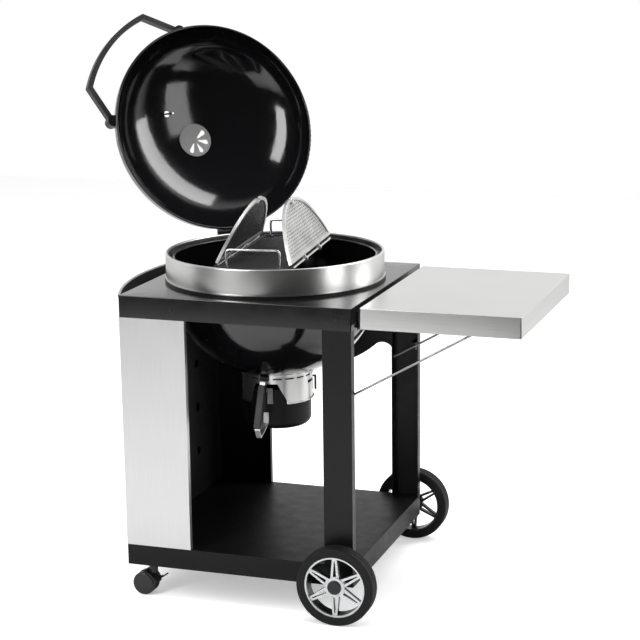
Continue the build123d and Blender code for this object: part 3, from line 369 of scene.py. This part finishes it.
def wavyBarTree():
    tree = bpy.data.node_groups.new("Wavy bars in a round outline", "GeometryNodeTree")
    tree.interface.new_socket("Geometry", in_out="OUTPUT", socket_type="NodeSocketGeometry")
    for name, kind in (("Count", "Int"), ("Start", "Float"), ("Pitch", "Float"), ("Radius", "Float"),
                       ("Centre", "Float"), ("Wave", "Float"), ("Swing", "Float"), ("Width", "Float"),
                       ("Depth", "Float"), ("Finish", "Material")):
        tree.interface.new_socket(name, in_out="INPUT", socket_type="NodeSocket" + kind)
    entry, leave = addNode(tree, "NodeGroupInput"), addNode(tree, "NodeGroupOutput")

    def maths(operation, first, second=None):
        node = addNode(tree, "ShaderNodeMath", operation=operation)
        for slot, value in enumerate((first, second)):
            if value is None:
                continue
            if isinstance(value, (int, float)):
                node.inputs[slot].default_value = value
            else:
                tree.links.new(value, node.inputs[slot])
        return node.outputs[0]

    start = addNode(tree, "ShaderNodeCombineXYZ")
    join(tree, entry, "Start", start, "X")
    step = addNode(tree, "ShaderNodeCombineXYZ")
    join(tree, entry, "Pitch", step, "X")
    roots = addNode(tree, "GeometryNodeMeshLine", mode="OFFSET")
    join(tree, entry, "Count", roots, "Count")
    join(tree, start, "Vector", roots, "Start Location")
    join(tree, step, "Vector", roots, "Offset")
    bar = addNode(tree, "GeometryNodeMeshLine", {
        "Count": 241, "Start Location": (0, -1, 0), "Offset": (0, 2 / 240, 0)}, mode="OFFSET")
    spread = addNode(tree, "GeometryNodeInstanceOnPoints")
    join(tree, roots, "Mesh", spread, "Points")
    join(tree, bar, "Mesh", spread, "Instance")
    real = addNode(tree, "GeometryNodeRealizeInstances")
    join(tree, spread, "Instances", real, "Geometry")
    place = addNode(tree, "GeometryNodeInputPosition")
    split = addNode(tree, "ShaderNodeSeparateXYZ")
    join(tree, place, "Position", split, "Vector")
    x, t = split.outputs["X"], split.outputs["Y"]
    off = maths("SUBTRACT", x, entry.outputs["Centre"])
    room = maths("SUBTRACT", maths("MULTIPLY", entry.outputs["Radius"], entry.outputs["Radius"]),
                 maths("MULTIPLY", off, off))
    y = maths("MULTIPLY", t, maths("SQRT", maths("MAXIMUM", room, 0.0)))
    along = maths("SUBTRACT", x, entry.outputs["Start"])
    number = maths("ROUND", maths("DIVIDE", along, entry.outputs["Pitch"]))
    phase = maths("ADD", maths("MULTIPLY", maths("DIVIDE", y, entry.outputs["Wave"]), 2 * math.pi),
                  maths("MULTIPLY", number, math.pi))
    sway = maths("MULTIPLY", maths("SINE", phase), entry.outputs["Swing"])
    spot = addNode(tree, "ShaderNodeCombineXYZ")
    tree.links.new(maths("ADD", x, sway), spot.inputs["X"])
    tree.links.new(y, spot.inputs["Y"])
    move = addNode(tree, "GeometryNodeSetPosition")
    join(tree, real, "Geometry", move, "Geometry")
    join(tree, spot, "Vector", move, "Position")
    line = addNode(tree, "GeometryNodeMeshToCurve")
    join(tree, move, "Geometry", line, "Mesh")
    level = addNode(tree, "GeometryNodeSetCurveNormal")
    level.mode = "Z_UP"
    join(tree, line, "Curve", level, "Curve")
    section = addNode(tree, "GeometryNodeCurvePrimitiveQuadrilateral")
    join(tree, entry, "Depth", section, "Width")
    join(tree, entry, "Width", section, "Height")
    solid = addNode(tree, "GeometryNodeCurveToMesh", {"Fill Caps": True})
    join(tree, level, "Curve", solid, "Curve")
    join(tree, section, "Curve", solid, "Profile Curve")
    coat = addNode(tree, "GeometryNodeSetMaterial")
    join(tree, solid, "Mesh", coat, "Geometry")
    join(tree, entry, "Finish", coat, "Material")
    join(tree, coat, "Geometry", leave, "Geometry")
    return tree


barTree = wavyBarTree()


def newPiece(name, mesh):
    piece = bpy.data.objects.new(name, mesh)
    bpy.context.scene.collection.objects.link(piece)
    return piece


def wavyBars(first, last, centre, finish):
    # A plain mesh of the bars between two distances from the hinge line
    look = grateLooks
    holder = newPiece("barHolder", bpy.data.meshes.new("barHolder"))
    bars = holder.modifiers.new("Bars", "NODES")
    bars.node_group = barTree
    count = int((last - first) / look["pitch"]) + 1
    for name, value in (("Count", count), ("Start", (first + last - (count - 1) * look["pitch"]) / 2),
                        ("Pitch", look["pitch"]), ("Radius", look["radius"] - look["border"] * 0.7),
                        ("Centre", centre), ("Wave", look["wave"]), ("Swing", look["swing"]),
                        ("Width", look["barWidth"]), ("Depth", look["barDepth"]),
                        ("Finish", finishes[finish])):
        treeInput(bars, name, value)
    mesh = bpy.data.meshes.new_from_object(holder.evaluated_get(bpy.context.evaluated_depsgraph_get()))
    bpy.data.objects.remove(holder)
    return mesh


def borderBand(outline, width, depth):
    # A closed flat band just inside an outline, standing half above and half below its plane
    build = bmesh.new()
    count = len(outline)
    inner = []
    for i, point in enumerate(outline):
        before, after = outline[i - 1], outline[(i + 1) % count]
        one, two = (point - before).normalized(), (after - point).normalized()
        normals = [Vector((-d.y, d.x)) for d in (one, two)]
        middle = (normals[0] + normals[1]).normalized()
        inner.append(point + middle * width / max(0.5, middle.dot(normals[0])))
    rings = []
    for ring in (outline, inner):
        for z in (-depth / 2, depth / 2):
            rings.append([build.verts.new((p.x, p.y, z)) for p in ring])
    lowOut, topOut, lowIn, topIn = rings
    for i in range(count):
        j = (i + 1) % count
        build.faces.new((topOut[i], topOut[j], topIn[j], topIn[i]))
        build.faces.new((lowOut[j], lowOut[i], lowIn[i], lowIn[j]))
        build.faces.new((lowOut[i], lowOut[j], topOut[j], topOut[i]))
        build.faces.new((lowIn[j], lowIn[i], topIn[i], topIn[j]))
    bmesh.ops.recalc_face_normals(build, faces=build.faces)
    return build


def addBox(build, low, high):
    corners = [build.verts.new((x, y, z)) for x in (low[0], high[0]) for y in (low[1], high[1])
               for z in (low[2], high[2])]
    for face in ((0, 1, 3, 2), (4, 6, 7, 5), (0, 4, 5, 1), (2, 3, 7, 6), (0, 2, 6, 4), (1, 5, 7, 3)):
        build.faces.new([corners[i] for i in face])


def addTube(build, start, length, outer, inner, steps=28):
    # A short tube whose axis is y, centred on x = z = 0
    rings = []
    for radius, y in ((outer, start), (outer, start + length), (inner, start + length), (inner, start)):
        rings.append([build.verts.new((radius * math.cos(2 * math.pi * i / steps), y,
                                       radius * math.sin(2 * math.pi * i / steps))) for i in range(steps)])
    for k in range(4):
        first, second = rings[k], rings[(k + 1) % 4]
        for i in range(steps):
            j = (i + 1) % steps
            build.faces.new((first[i], first[j], second[j], second[i]))


def finishGrate(name, build, bars, matrix, finish, border, body, node):
    mesh = bpy.data.meshes.new(name)
    bmesh.ops.recalc_face_normals(build, faces=build.faces)
    plain = len(build.faces)
    build.from_mesh(bars)
    build.to_mesh(mesh)
    build.free()
    mesh.materials.clear()
    mesh.materials.append(finishes[border])
    mesh.materials.append(finishes[finish])
    for number, face in enumerate(mesh.polygons):
        face.material_index = 0 if number < plain else 1
    mesh.transform(matrix)
    mesh.shade_smooth()
    mesh.set_sharp_from_angle(angle=math.radians(35))
    piece = newPiece(name, mesh)
    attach(piece, body)
    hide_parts(node)
    return piece


grateTurn = math.radians(grateLooks["turn"])
grateAcross = Vector((math.cos(grateTurn), math.sin(grateTurn), 0))
grateAlong = Vector((-math.sin(grateTurn), math.cos(grateTurn), 0))
grateSpot = Vector((kettleX, kettleY, grateLooks["height"]))


def frameOf(origin, xAxis, yAxis):
    zAxis = xAxis.cross(yAxis)
    return Matrix.Translation(origin) @ Matrix((xAxis, yAxis, zAxis)).transposed().to_4x4()


def makeCentreGrate():
    look = grateLooks
    half, radius = look["centreHalf"], look["radius"]
    swing = math.asin(half / radius)
    outline = []
    for side in (-1, 1):
        for i in range(41):
            a = side * math.pi / 2 - swing + 2 * swing * i / 40
            outline.append(Vector((radius * math.cos(a), radius * math.sin(a))))
    build = borderBand(outline, look["border"], look["depth"])
    low, bar = -look["depth"] / 2, look["crossBarHalf"]
    for y in (-look["crossBarY"], look["crossBarY"]):
        addBox(build, (-half + bar, y - bar, low), (half - bar, y + bar, look["crossBarTop"]))
    pad, tab = look["loopPad"], look["tabHalf"]
    for side in (-1, 1):
        x = side * look["loopX"]
        for y in (-look["loopY"], look["loopY"]):
            addBox(build, (x - pad, y - pad, low), (x + pad, y + pad, -low))
        tabLow, tabHigh = sorted((side * look["tabFrom"], side * look["tabTo"]))
        for y in (-look["tabY"], look["tabY"]):
            addBox(build, (tabLow, y - tab, low), (tabHigh, y + tab, -low))
    bars = wavyBars(-half + look["border"], half - look["border"], 0.0, "castDark")
    finishGrate("cookingGrateCentre", build, bars, frameOf(grateSpot, grateAcross, grateAlong), "castDark",
                "castDark", "cooking_grate", "grate_center")


def makeFlap(side, name, node, finish):
    look = grateLooks
    lean = math.radians(look["lean"])
    rise = Vector((0, 0, math.cos(lean))) - grateAcross * (side * math.sin(lean))
    gap, radius, centre = look["hingeGap"], look["radius"], -look["hingeOut"]
    top = radius + centre
    reach = math.acos((gap - centre) / radius)
    outline = [Vector((centre + radius * math.cos(a), radius * math.sin(a)))
               for a in (-reach + 2 * reach * i / 72 for i in range(73))]
    notch = look["notch"]
    kept = [p for p in outline if (p - Vector((top, 0))).length > notch]
    cut = next(i for i, p in enumerate(kept) if p.y > 0)
    dip = [Vector((top - notch * math.cos(a), notch * math.sin(a)))
           for a in (-1.3 + 2.6 * i / 10 for i in range(11))]
    outline = kept[:cut] + dip + kept[cut:]
    build = borderBand(outline, look["border"], look["depth"])
    low, knuckle = -look["depth"] / 2, look["knuckleHalf"]
    for y in (-look["knuckleY"], look["knuckleY"]):
        addTube(build, y - knuckle, 2 * knuckle, look["knuckleRadius"], look["rodHole"])
        addBox(build, (look["webFrom"], y - knuckle, low), (look["webTo"], y + knuckle, -low))
    bars = wavyBars(gap + look["border"], top - look["barsBelowTop"], centre, finish)
    # The flap border takes the pale cast finish, a painted highlight on the dark cast iron
    finishGrate(name, build, bars, frameOf(grateSpot + grateAcross * side * look["hingeOut"], rise,
                                           grateAlong * side), finish, "castPaintedHighlight", node, node)


makeCentreGrate()
makeFlap(-1, "leftGrateFlap", "left_flap", "castDark")
# The right flap's bars take the pale cast finish too, a painted highlight
makeFlap(1, "rightGrateFlap", "right_flap", "castPaintedHighlight")
print("cooking grate made")


# ---- floor, light and camera

stageLooks = {"floorLeft": -6.0, "floorRight": 1.9, "floorFront": -1.7, "floorBack": 7.0,
              "apronLeft": -3.5, "apronRight": 0.4, "apronFront": -4.6,
              "floorColour": (0.86, 0.86, 0.86), "floorLift": 0.42, "backdropGlow": 1.0,
              "frontGlow": 0.03, "skyGlow": 1.0, "skyFade": 0.10}


def makeFloor():
    mesh = bpy.data.meshes.new("studioFloor")
    left, right, front, back = (stageLooks["floor" + k] for k in ("Left", "Right", "Front", "Back"))
    near, far, edge = (stageLooks["apron" + k] for k in ("Left", "Right", "Front"))
    mesh.from_pydata([(left, front, 0), (near, front, 0), (far, front, 0), (right, front, 0),
                      (right, back, 0), (left, back, 0), (near, edge, 0), (far, edge, 0)], [],
                     [(0, 1, 2, 3, 4, 5), (6, 7, 2, 1)])
    floor = bpy.data.objects.new("studioFloor", mesh)
    bpy.context.scene.collection.objects.link(floor)
    material, tree, shader, coords = startMaterial("paperFloor", {
        "Roughness": 0.6, "Specular IOR Level": 0.2})
    tone = noiseOf(tree, coords, "Object", 0.8, 2.0)
    colour = stageLooks["floorColour"]
    tint = rampOf(tree, tone, "Fac", [(0.3, colour), (0.7, tuple(c * 1.02 for c in colour))])
    join(tree, tint, "Color", shader, "Base Color")
    shader.inputs["Emission Color"].default_value = (1, 1, 1, 1)
    path = addNode(tree, "ShaderNodeLightPath")
    lift = addNode(tree, "ShaderNodeMath", operation="MULTIPLY")
    lift.inputs[1].default_value = stageLooks["floorLift"]
    join(tree, path, "Is Camera Ray", lift, 0)
    join(tree, lift, "Value", shader, "Emission Strength")
    mesh.materials.append(material)


def makeSky():
    # White backdrop all round the back, dark room in front of the object
    world = bpy.data.worlds.new("studioSky")
    bpy.context.scene.world = world
    world.use_nodes = True
    tree = world.node_tree
    soft = tree.nodes["Background"]
    soft.inputs["Color"].default_value = (1, 1, 1, 1)
    coords = addNode(tree, "ShaderNodeTexCoord")
    facing = addNode(tree, "ShaderNodeVectorMath", operation="DOT_PRODUCT")
    join(tree, coords, "Generated", facing, 0)
    around = math.radians(shot["azimuth"])
    facing.inputs[1].default_value = (-math.sin(around), math.cos(around), 0)
    fade = addNode(tree, "ShaderNodeMapRange", {
        "From Min": -stageLooks["skyFade"], "From Max": stageLooks["skyFade"],
        "To Min": stageLooks["frontGlow"], "To Max": stageLooks["skyGlow"]},
        interpolation_type="SMOOTHSTEP")
    join(tree, facing, "Value", fade, "Value")
    join(tree, fade, "Result", soft, "Strength")
    plain = addNode(tree, "ShaderNodeBackground", {
        "Color": (1, 1, 1, 1), "Strength": stageLooks["backdropGlow"]})
    path = addNode(tree, "ShaderNodeLightPath")
    mix = addNode(tree, "ShaderNodeMixShader")
    join(tree, path, "Is Camera Ray", mix, "Fac")
    tree.links.new(soft.outputs[0], mix.inputs[1])
    tree.links.new(plain.outputs[0], mix.inputs[2])
    tree.links.new(mix.outputs[0], tree.nodes["World Output"].inputs["Surface"])


lamps = {
    "softboxLeft": {"place": (-1.5, -2.9, 2.7), "aim": (-0.2, 0.1, 0.9), "size": (1.1, 3.2), "watts": 105,
                    "seen": True},
    "softboxBack": {"place": (2.1, 1.28, 3.3), "aim": (-0.45, 0.25, 1.15), "size": (1.0, 4.0), "watts": 90,
                    "seen": True},
    "softboxRight": {"place": (3.4, -0.6, 1.6), "aim": (0.1, 0, 0.6), "size": (1.2, 2.4), "watts": 30,
                     "seen": True},
    "fillTop": {"place": (0.3, -0.4, 4.2), "aim": (0, 0, 0), "size": (3.5, 3.5), "watts": 150,
                "seen": False},
}


def makeLamps():
    for name, lamp in lamps.items():
        data = bpy.data.lights.new(name, "AREA")
        data.shape = "RECTANGLE"
        data.size, data.size_y = lamp["size"]
        data.energy = lamp["watts"]
        light = bpy.data.objects.new(name, data)
        light.location = lamp["place"]
        beam = Vector(lamp["aim"]) - Vector(lamp["place"])
        light.rotation_euler = beam.to_track_quat("-Z", "Y").to_euler()
        light.visible_glossy = lamp["seen"]
        bpy.context.scene.collection.objects.link(light)


shot = {"offset": (2.0995, -4.4358, 1.8534), "azimuth": 18.84, "elevation": 13.57, "roll": -0.69,
        "lens": 104.46, "shiftX": -0.0087, "shiftY": 0.0548}


def makeCamera():
    around, up, roll = (math.radians(shot[k]) for k in ("azimuth", "elevation", "roll"))
    back = Vector((math.sin(around) * math.cos(up), -math.cos(around) * math.cos(up), math.sin(up)))
    right = Vector((math.cos(around), math.sin(around), 0))
    top = back.cross(right)
    leaned = math.cos(roll) * right + math.sin(roll) * top
    top = math.cos(roll) * top - math.sin(roll) * right
    data = bpy.data.cameras.new("studioCamera")
    data.lens, data.sensor_width = shot["lens"], 36.0
    data.shift_x, data.shift_y = shot["shiftX"], shot["shiftY"]
    data.clip_end = 100.0
    camera = bpy.data.objects.new("studioCamera", data)
    turn = Matrix((leaned, top, back)).transposed().to_4x4()
    place = Vector((trayLow.x, trayLow.y, 0)) + Vector(shot["offset"])
    camera.matrix_world = Matrix.Translation(place) @ turn
    bpy.context.scene.collection.objects.link(camera)
    bpy.context.scene.camera = camera


makeFloor()
makeSky()
makeLamps()
makeCamera()
bpy.context.scene.view_settings.view_transform = "Standard"
print("stage set")
